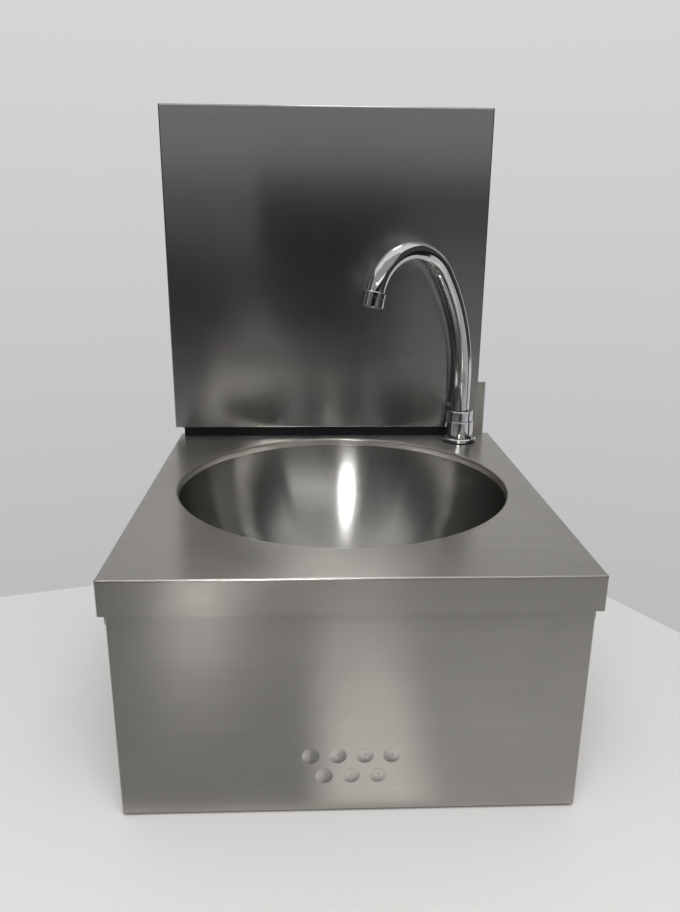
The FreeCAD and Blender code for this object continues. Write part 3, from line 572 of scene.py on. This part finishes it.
def makeThread(name, look):
    # one ridge that climbs round the piece, thinned away at both ends
    work = bmesh.new()
    pitch, length, form = look["pitch"], look["length"], threadForm
    sunk = look["radius"] - form["sunk"]
    crest = look["radius"] + look["height"]
    profile = ((sunk, -form["foot"]), (crest, -form["crest"]), (crest, form["crest"]), (sunk, form["foot"]))
    corners = [work.verts.new((x, 0, z * pitch)) for x, z in profile]
    edges = [work.edges.new(pair) for pair in zip(corners, corners[1:] + corners[:1])]
    turns = length / pitch
    steps = round(turns * form["steps"])
    bmesh.ops.spin(work, geom=corners + edges, cent=(0, 0, 0), axis=(0, 0, 1), dvec=(0, 0, length / steps),
                   angle=math.tau * turns, steps=steps, use_merge=False)
    for vert in work.verts:
        climbed = min(vert.co.z, length - vert.co.z) / pitch
        reach = vert.co.xy.length
        if climbed < form["runOut"] and reach > sunk:
            thin = sunk + (reach - sunk) * max(climbed, form["least"]) / form["runOut"]
            vert.co.xy *= thin / reach
    closeHoles(work)
    bmesh.ops.recalc_face_normals(work, faces=work.faces)
    place = (*look["axis"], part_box(look["on"])[0][2] + look["start"])
    bmesh.ops.transform(work, matrix=turnMatrix(place, (0, 0, 1)), verts=work.verts)
    dress(addMesh(name, work), slots[look["on"]], "basin")


for name, look in threads.items():
    makeThread(name, look)
print("threads:", len(threads))

spotWelds = {
    "hook_welds": {"on": "splashback_hook", "body": "basin", "xs": (-0.150, -0.081, -0.012, 0.056, 0.125),
                   "y": -0.0135, "zs": (0.202,)},
    "stiffener_welds": {"on": "panel_stiffener", "body": "knee_panel", "xs": (-0.125, -0.042, 0.042, 0.125),
                        "y": -0.4176, "zs": (-0.031, 0.011)},
}
weldForm = {
    "profile": ((0.0, 0.00002), (0.0016, 0.00004), (0.0022, 0.00016), (0.0028, 0.00014),
                (0.0034, -0.00004), (0.0, -0.00006)),  # out from the middle and up from the sheet
    "steps": 20,
}


def spinProfile(work, profile, place, steps):
    # turns a profile of (reach, height) once round the Z axis of a place; the profile starts and ends on it
    corners = [work.verts.new(place @ Vector((reach, 0, height))) for reach, height in profile]
    edges = [work.edges.new(pair) for pair in zip(corners, corners[1:])]
    axis = place.to_3x3() @ Vector((0, 0, 1))
    bmesh.ops.spin(work, geom=corners + edges, cent=place.translation, axis=axis, angle=math.tau,
                   steps=steps, use_merge=True)
    bmesh.ops.remove_doubles(work, verts=work.verts, dist=mergeDistance)


def makeWelds(name, look):
    # shallow rings, as a spot welder's tips leave them
    work = bmesh.new()
    for x in look["xs"]:
        for z in look["zs"]:
            place = turnMatrix((x, look["y"], z), (0, 1, 0))
            spinProfile(work, weldForm["profile"], place, weldForm["steps"])
    bmesh.ops.recalc_face_normals(work, faces=work.faces)
    for face in work.faces:
        face.smooth = True
    dress(addMesh(name, work), slots[look["on"]], look["body"])


for name, look in spotWelds.items():
    makeWelds(name, look)
print("spot welds on", len(spotWelds), "pieces")

wasteScrew = {
    "profile": ((0.0, 0.0), (0.0021, 0.0), (0.0025, 0.0004), (0.0025, 0.0110), (0.0050, 0.0110),
                (0.0050, 0.0116), (0.0042, 0.0129), (0.0030, 0.0133), (0.0, 0.0134)),
    "steps": 48,
    "slotWidth": 0.0012,
    "slotDepth": 0.0011,
    "slotAbove": 0.0116,  # the slot is cut in what lies above the head's edge
    "slotTurn": 24,  # degrees
}


def makeWasteScrew(look):
    # a raised countersunk screw with one slot, from below its shank to the top of its head
    work = bmesh.new()
    spinProfile(work, look["profile"], Matrix.Identity(4), look["steps"])
    half = look["slotWidth"] / 2
    for side in (-1, 1):
        bmesh.ops.bisect_plane(work, geom=work.verts[:] + work.edges[:] + work.faces[:], dist=mergeDistance,
                               plane_co=(0, side * half, 0), plane_no=(0, side, 0))
    bmesh.ops.recalc_face_normals(work, faces=work.faces)
    top = []
    for face in work.faces:
        middle = face.calc_center_median()
        if abs(middle.y) < half and middle.z > look["slotAbove"]:
            top.append(face)
    sunk = bmesh.ops.extrude_face_region(work, geom=top)["geom"]
    bmesh.ops.delete(work, geom=top, context="FACES_ONLY")
    for vert in newVerts(sunk):
        vert.co.z = look["profile"][-1][1] - look["slotDepth"]
    bmesh.ops.recalc_face_normals(work, faces=work.faces)
    foot = Matrix.Translation((*bowlAxis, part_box("waste_screw")[0][2]))
    turn = Matrix.Rotation(math.radians(look["slotTurn"]), 4, "Z")
    bmesh.ops.transform(work, matrix=foot @ turn, verts=work.verts)
    screw = addMesh("waste_screw_slotted", work)
    dress(screw, slots["waste_screw"], "basin")
    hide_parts("waste_screw")


makeWasteScrew(wasteScrew)
print("waste screw made")

aeratorMesh = {
    "outlet": (0.03585, -0.11959, 0.30780),
    "way": (-0.19984, -0.13633, -0.97030),
    "depth": 0.00862,
    "radius": 0.0091,
    "cells": 14,
    "wire": 0.00022,
}


def makeAeratorMesh(look):
    # the fine wire screen in the mouth of the aerator
    work = bmesh.new()
    bmesh.ops.create_grid(work, x_segments=look["cells"], y_segments=look["cells"], size=look["radius"])
    outside = [vert for vert in work.verts if vert.co.length > look["radius"]]
    for vert in outside:
        vert.co *= look["radius"] / vert.co.length
    thin = [face for face in work.faces if all(vert in outside for vert in face.verts)]
    bmesh.ops.delete(work, geom=thin, context="FACES")
    bmesh.ops.wireframe(work, faces=work.faces, thickness=look["wire"], use_replace=True, use_boundary=True,
                        use_even_offset=False)
    way = Vector(look["way"]).normalized()
    place = turnMatrix(Vector(look["outlet"]) + way * look["depth"], way)
    bmesh.ops.transform(work, matrix=place, verts=work.verts)
    dress(addMesh("aerator_mesh", work), "chrome", "spout")


makeAeratorMesh(aeratorMesh)
print("aerator mesh made")

tableLook = {
    "colour": (0.67, 0.66, 0.65, 1),
    "roughness": 0.9,
    "corners": ((-1.6, -3.0), (2.034, -3.0), (0.2556, 0.1825), (-1.6, -0.324)),
    "hole": ((-0.1935, -0.405), (0.1935, -0.405), (0.1935, -0.0005), (-0.1935, -0.0005)),  # under the basin
    "gap": 0.0001,  # below the feet
}


def makeTable(look):
    # a flat sheet with a hole, through which light and a camera from below reach the basin's underside
    work = bmesh.new()
    height = cadBox[0].z - look["gap"]
    inner = [work.verts.new((x, y, height)) for x, y in look["hole"]]
    edges = [work.edges.new(pair) for pair in zip(inner, inner[1:] + inner[:1])]
    for vert in newVerts(bmesh.ops.extrude_edge_only(work, edges=edges)["geom"]):
        nearest = min(range(len(inner)), key=lambda index: (inner[index].co - vert.co).length)
        vert.co.xy = look["corners"][nearest]
    bmesh.ops.recalc_face_normals(work, faces=work.faces)
    if sum(face.normal.z for face in work.faces) < 0:
        bmesh.ops.reverse_faces(work, faces=work.faces)
    table = addMesh("table", work)
    material, tree, shader, _ = newMaterial("table")
    fillInputs(tree, shader, Base_Color=look["colour"], Roughness=look["roughness"])
    fillInputs(tree, shader, Specular_IOR_Level=0.0)  # the cards don't shine in it
    below = addNode(tree, "ShaderNodeNewGeometry").outputs["Backfacing"]
    camera = addNode(tree, "ShaderNodeLightPath").outputs["Is Camera Ray"]
    clear = addNode(tree, "ShaderNodeBsdfTransparent").outputs[0]
    mixed = mixShaders(tree, mathNode(tree, "MULTIPLY", below, camera), shader.outputs[0], clear)
    fillFirst(tree, tree.get_output_node("ALL"), mixed)
    table.data.materials.append(material)


# Cards that only the metal sees, each from its lowest to its highest corner: a dim room, and what lies on the
# table. Where the glow changes along X, it is a row of places with the glow at each.
cards = {
    "roomFront": {"low": (-2.3, -2.41, -0.1), "high": (2.3, -2.40, 1.0), "glow": 0.012},
    "roomFrontTop": {"low": (-2.3, -2.41, 1.0), "high": (2.3, -2.40, 2.4),
                     "glow": ((-2.3, 0.20), (-0.30, 0.25), (0.00, 0.50), (0.50, 1.10), (2.3, 1.10))},
    "roomTop": {"low": (-2.3, -2.4, 2.40), "high": (2.3, 0.3, 2.41), "glow": 0.75},
    "roomLeft": {"low": (-2.31, -2.4, -0.1), "high": (-2.30, 1.5, 2.4), "glow": 0.06},
    "roomRight": {"low": (2.30, -2.4, -0.1), "high": (2.31, 1.5, 2.4), "glow": 0.05},
    "roomRear": {"low": (-2.3, 0.60, 0.75), "high": (2.3, 0.601, 2.4), "glow": 0.33},
    "matFront": {"low": (-2.3, -2.4, -0.1005), "high": (2.3, -1.3, -0.1),
                 "glow": ((-0.50, 0.05), (0.10, 0.07), (0.30, 0.30), (0.80, 0.22))},
    "matFar": {"low": (-2.3, -1.3, -0.1005), "high": (2.3, -0.75, -0.1),
               "glow": ((-0.50, 0.25), (-0.27, 0.35), (-0.19, 2.60), (-0.13, 0.60), (0.00, 0.36),
                        (0.50, 0.40))},
    "matNear": {"low": (-2.3, -0.75, -0.1005), "high": (2.3, -0.43, -0.1),
                "glow": ((-0.50, 0.33), (-0.050, 0.37), (0.000, 1.05), (0.045, 1.08), (0.095, 0.58),
                         (0.50, 0.56))},
    "deckCard": {"low": (-0.40, 0.30, 0.75), "high": (0.60, 0.301, 1.60),
                 "glow": ((-0.40, 0.35), (-0.13, 0.60), (0.00, 5.20), (0.07, 4.10), (0.22, 0.35),
                          (0.60, 0.25))},
    "windowCard": {"low": (-0.33, -1.801, 1.10), "high": (-0.07, -1.80, 2.1), "glow": 34.0},
    "shadeCard": {"low": (-0.55, -0.421, 0.465), "high": (0.55, -0.42, 1.00), "glow": 0.33},
    "leftShade": {"low": (-0.30, -0.421, 0.34), "high": (-0.12, -0.42, 0.465), "glow": 0.12},
    "topCard": {"low": (-1.0, -2.0, 2.39), "high": (1.0, -1.1, 2.395), "glow": 2.2},
    "darkPost": {"low": (0.70, -0.27, -0.1), "high": (0.71, -0.12, 0.40), "glow": 0.012},
    "dimCard": {"low": (-0.75, -0.701, 0.11), "high": (0.75, -0.70, 0.38),
                "glow": ((-0.75, 0.03), (0.00, 0.015), (0.12, 0.05), (0.20, 0.16), (0.75, 0.15))},
}


def glowRamp(tree, stops):
    # the glow along X, from stop to stop
    first, last = stops[0][0], stops[-1][0]
    x = separate(tree, addNode(tree, "ShaderNodeTexCoord").outputs["Object"])[0]
    node = addNode(tree, "ShaderNodeValToRGB")
    fillFirst(tree, node, mapRange(tree, x, first, last))
    ramp = node.color_ramp
    ramp.interpolation = "EASE"
    for _ in stops[2:]:
        ramp.elements.new(1.0)
    for point, (place, glow) in zip(ramp.elements, stops):
        point.position = (place - first) / (last - first)
        point.color = (glow, glow, glow, 1)
    return node.outputs[0]


def makeCard(name, card):
    work = bmesh.new()
    bmesh.ops.create_cube(work, size=1.0)
    low, high = Vector(card["low"]), Vector(card["high"])
    bmesh.ops.scale(work, vec=high - low, verts=work.verts)
    bmesh.ops.translate(work, vec=(low + high) / 2, verts=work.verts)
    obj = addMesh(name, work)
    material = bpy.data.materials.new(name)
    material.cycles.emission_sampling = "NONE"
    tree = emptyTree(material)
    emission = addNode(tree, "ShaderNodeEmission")
    if isinstance(card["glow"], tuple):
        fillInputs(tree, emission, Color=glowRamp(tree, card["glow"]))
    else:
        fillInputs(tree, emission, Strength=card["glow"])
    fillFirst(tree, addNode(tree, "ShaderNodeOutputMaterial"), emission.outputs[0])
    obj.data.materials.append(material)
    obj.visible_camera = False
    obj.visible_diffuse = False
    obj.visible_shadow = False


wallLook = {
    # painted shade of the wall: the low colour where the view looks down, the high colour where it looks up
    "lowColour": (0.505, 0.505, 0.520, 1),
    "highColour": (0.665, 0.665, 0.680, 1),
    "slopes": (-0.45, 0.22),  # of the view, where each colour begins
    "light": 0.60,
}


def makeWall(look):
    # the pale wall is the world's background, with painted shade: darker towards the bottom, paler towards
    # the top; the light that the world gives is plain white
    world = bpy.data.worlds.new("studio")
    bpy.context.scene.world = world
    world.cycles.sampling_method = "NONE"  # so that the cards hide it from the metal
    tree = emptyTree(world)
    height = separate(tree, addNode(tree, "ShaderNodeTexCoord").outputs["Generated"])[2]
    wall = addNode(tree, "ShaderNodeBackground")
    share = mapRange(tree, height, *look["slopes"])
    fillInputs(tree, wall, Color=mix(tree, "RGBA", share, look["lowColour"], look["highColour"]))
    light = addNode(tree, "ShaderNodeBackground")
    fillInputs(tree, light, Color=(1, 1, 1, 1), Strength=look["light"])
    rays = addNode(tree, "ShaderNodeLightPath").outputs
    seen = mathNode(tree, "ADD", rays["Is Camera Ray"], rays["Is Glossy Ray"])
    seen = mathNode(tree, "ADD", seen, rays["Is Transmission Ray"], clamp=True)
    fillFirst(tree, addNode(tree, "ShaderNodeOutputWorld"),
              mixShaders(tree, seen, light.outputs[0], wall.outputs[0]))


softLamp = {
    "place": (0.0, -1.5, 1.9),
    "aim": (0.0, -0.5, 0.0),
    "size": (1.6, 1.2),
    "power": 37.0,
}


def makeLamp(lamp):
    data = bpy.data.lights.new("softLamp", "AREA")
    data.shape = "RECTANGLE"
    data.size, data.size_y = lamp["size"]
    data.energy = lamp["power"]
    obj = bpy.data.objects.new("softLamp", data)
    bpy.context.scene.collection.objects.link(obj)
    way = Vector(lamp["aim"]) - Vector(lamp["place"])
    obj.matrix_world = Matrix.Translation(lamp["place"]) @ way.to_track_quat("-Z", "Y").to_matrix().to_4x4()
    obj.visible_camera = False
    obj.visible_glossy = False  # the metal mirrors the cards instead


makeTable(tableLook)
for name, card in cards.items():
    makeCard(name, card)
makeWall(wallLook)
makeLamp(softLamp)
bpy.context.scene.view_settings.view_transform = "Standard"
print("stage and lamp made")
